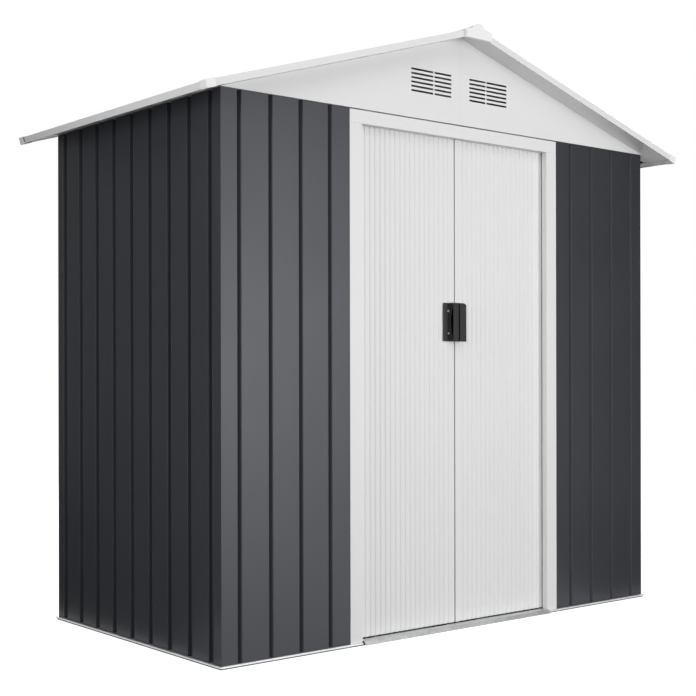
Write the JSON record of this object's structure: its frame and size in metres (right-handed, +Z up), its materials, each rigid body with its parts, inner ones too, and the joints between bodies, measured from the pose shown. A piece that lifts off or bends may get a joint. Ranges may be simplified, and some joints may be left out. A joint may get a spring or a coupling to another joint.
{
  "type": "metal storage shed",
  "caption": "Flat-pack sheet-steel garden shed with grooved charcoal walls, white gable roof, louvre vents and a pair of sliding doors in a framed doorway.",
  "frame": {"origin": "plan centre of the shed on the ground under its base rails", "axes": "+X to the right along the front, +Y to the rear (the doors face -Y), +Z up"},
  "size_m": [1.945, 1.0964, 1.8253],
  "materials": {
    "charcoal_sheet": "satin powder coat",
    "white_sheet": "satin powder coat",
    "white_plastic": "moulded",
    "galvanised_steel": "galvanised",
    "black_plastic": "moulded"
  },
  "bodies": {
    "shed": {"front_base_rails": "galvanised_steel", "left_base_rail": "galvanised_steel", "right_base_rail": "galvanised_steel", "rear_base_rail": "galvanised_steel", "door_threshold": "galvanised_steel", "lower_track": "galvanised_steel", "front_left_wall": "charcoal_sheet", "front_right_wall": "charcoal_sheet", "left_wall": "charcoal_sheet", "right_wall": "charcoal_sheet", "rear_left_wall": "charcoal_sheet", "rear_right_wall": "charcoal_sheet", "left_door_jamb": "white_sheet", "right_door_jamb": "white_sheet", "door_header": "white_sheet", "upper_track": "galvanised_steel", "side_top_rails": "galvanised_steel", "rear_top_rail": "galvanised_steel", "side_mid_braces": "galvanised_steel", "rear_mid_brace": "galvanised_steel", "front_gable_left": "white_sheet", "front_gable_right": "white_sheet", "rear_gable_left": "white_sheet", "rear_gable_right": "white_sheet", "ridge_beam": "galvanised_steel", "roof_purlins": "galvanised_steel", "left_roof_panel": "white_sheet", "right_roof_panel": "white_sheet", "ridge_cap": "white_sheet", "left_eave_trim": "white_sheet", "right_eave_trim": "white_sheet", "front_left_gable_trim": "white_sheet", "front_right_gable_trim": "white_sheet", "rear_left_gable_trim": "white_sheet", "rear_right_gable_trim": "white_sheet", "corner_caps": "white_plastic", "ridge_end_caps": "white_plastic"},
    "left_door": {"left_door_panel": "white_sheet", "left_door_channels": "galvanised_steel", "left_door_sliders": "black_plastic", "left_door_handle": "black_plastic"},
    "right_door": {"right_door_panel": "white_sheet", "right_door_channels": "galvanised_steel", "right_door_sliders": "black_plastic", "right_door_handle": "black_plastic"}
  },
  "joints": [
    {"name": "left_door_slide", "type": "slide", "parent": "shed", "child": "left_door", "axis": [-1, 0, 0], "range_m": [0, 0.335]},
    {"name": "right_door_slide", "type": "slide", "parent": "shed", "child": "right_door", "axis": [1, 0, 0], "range_m": [0, 0.335]}
  ]
}
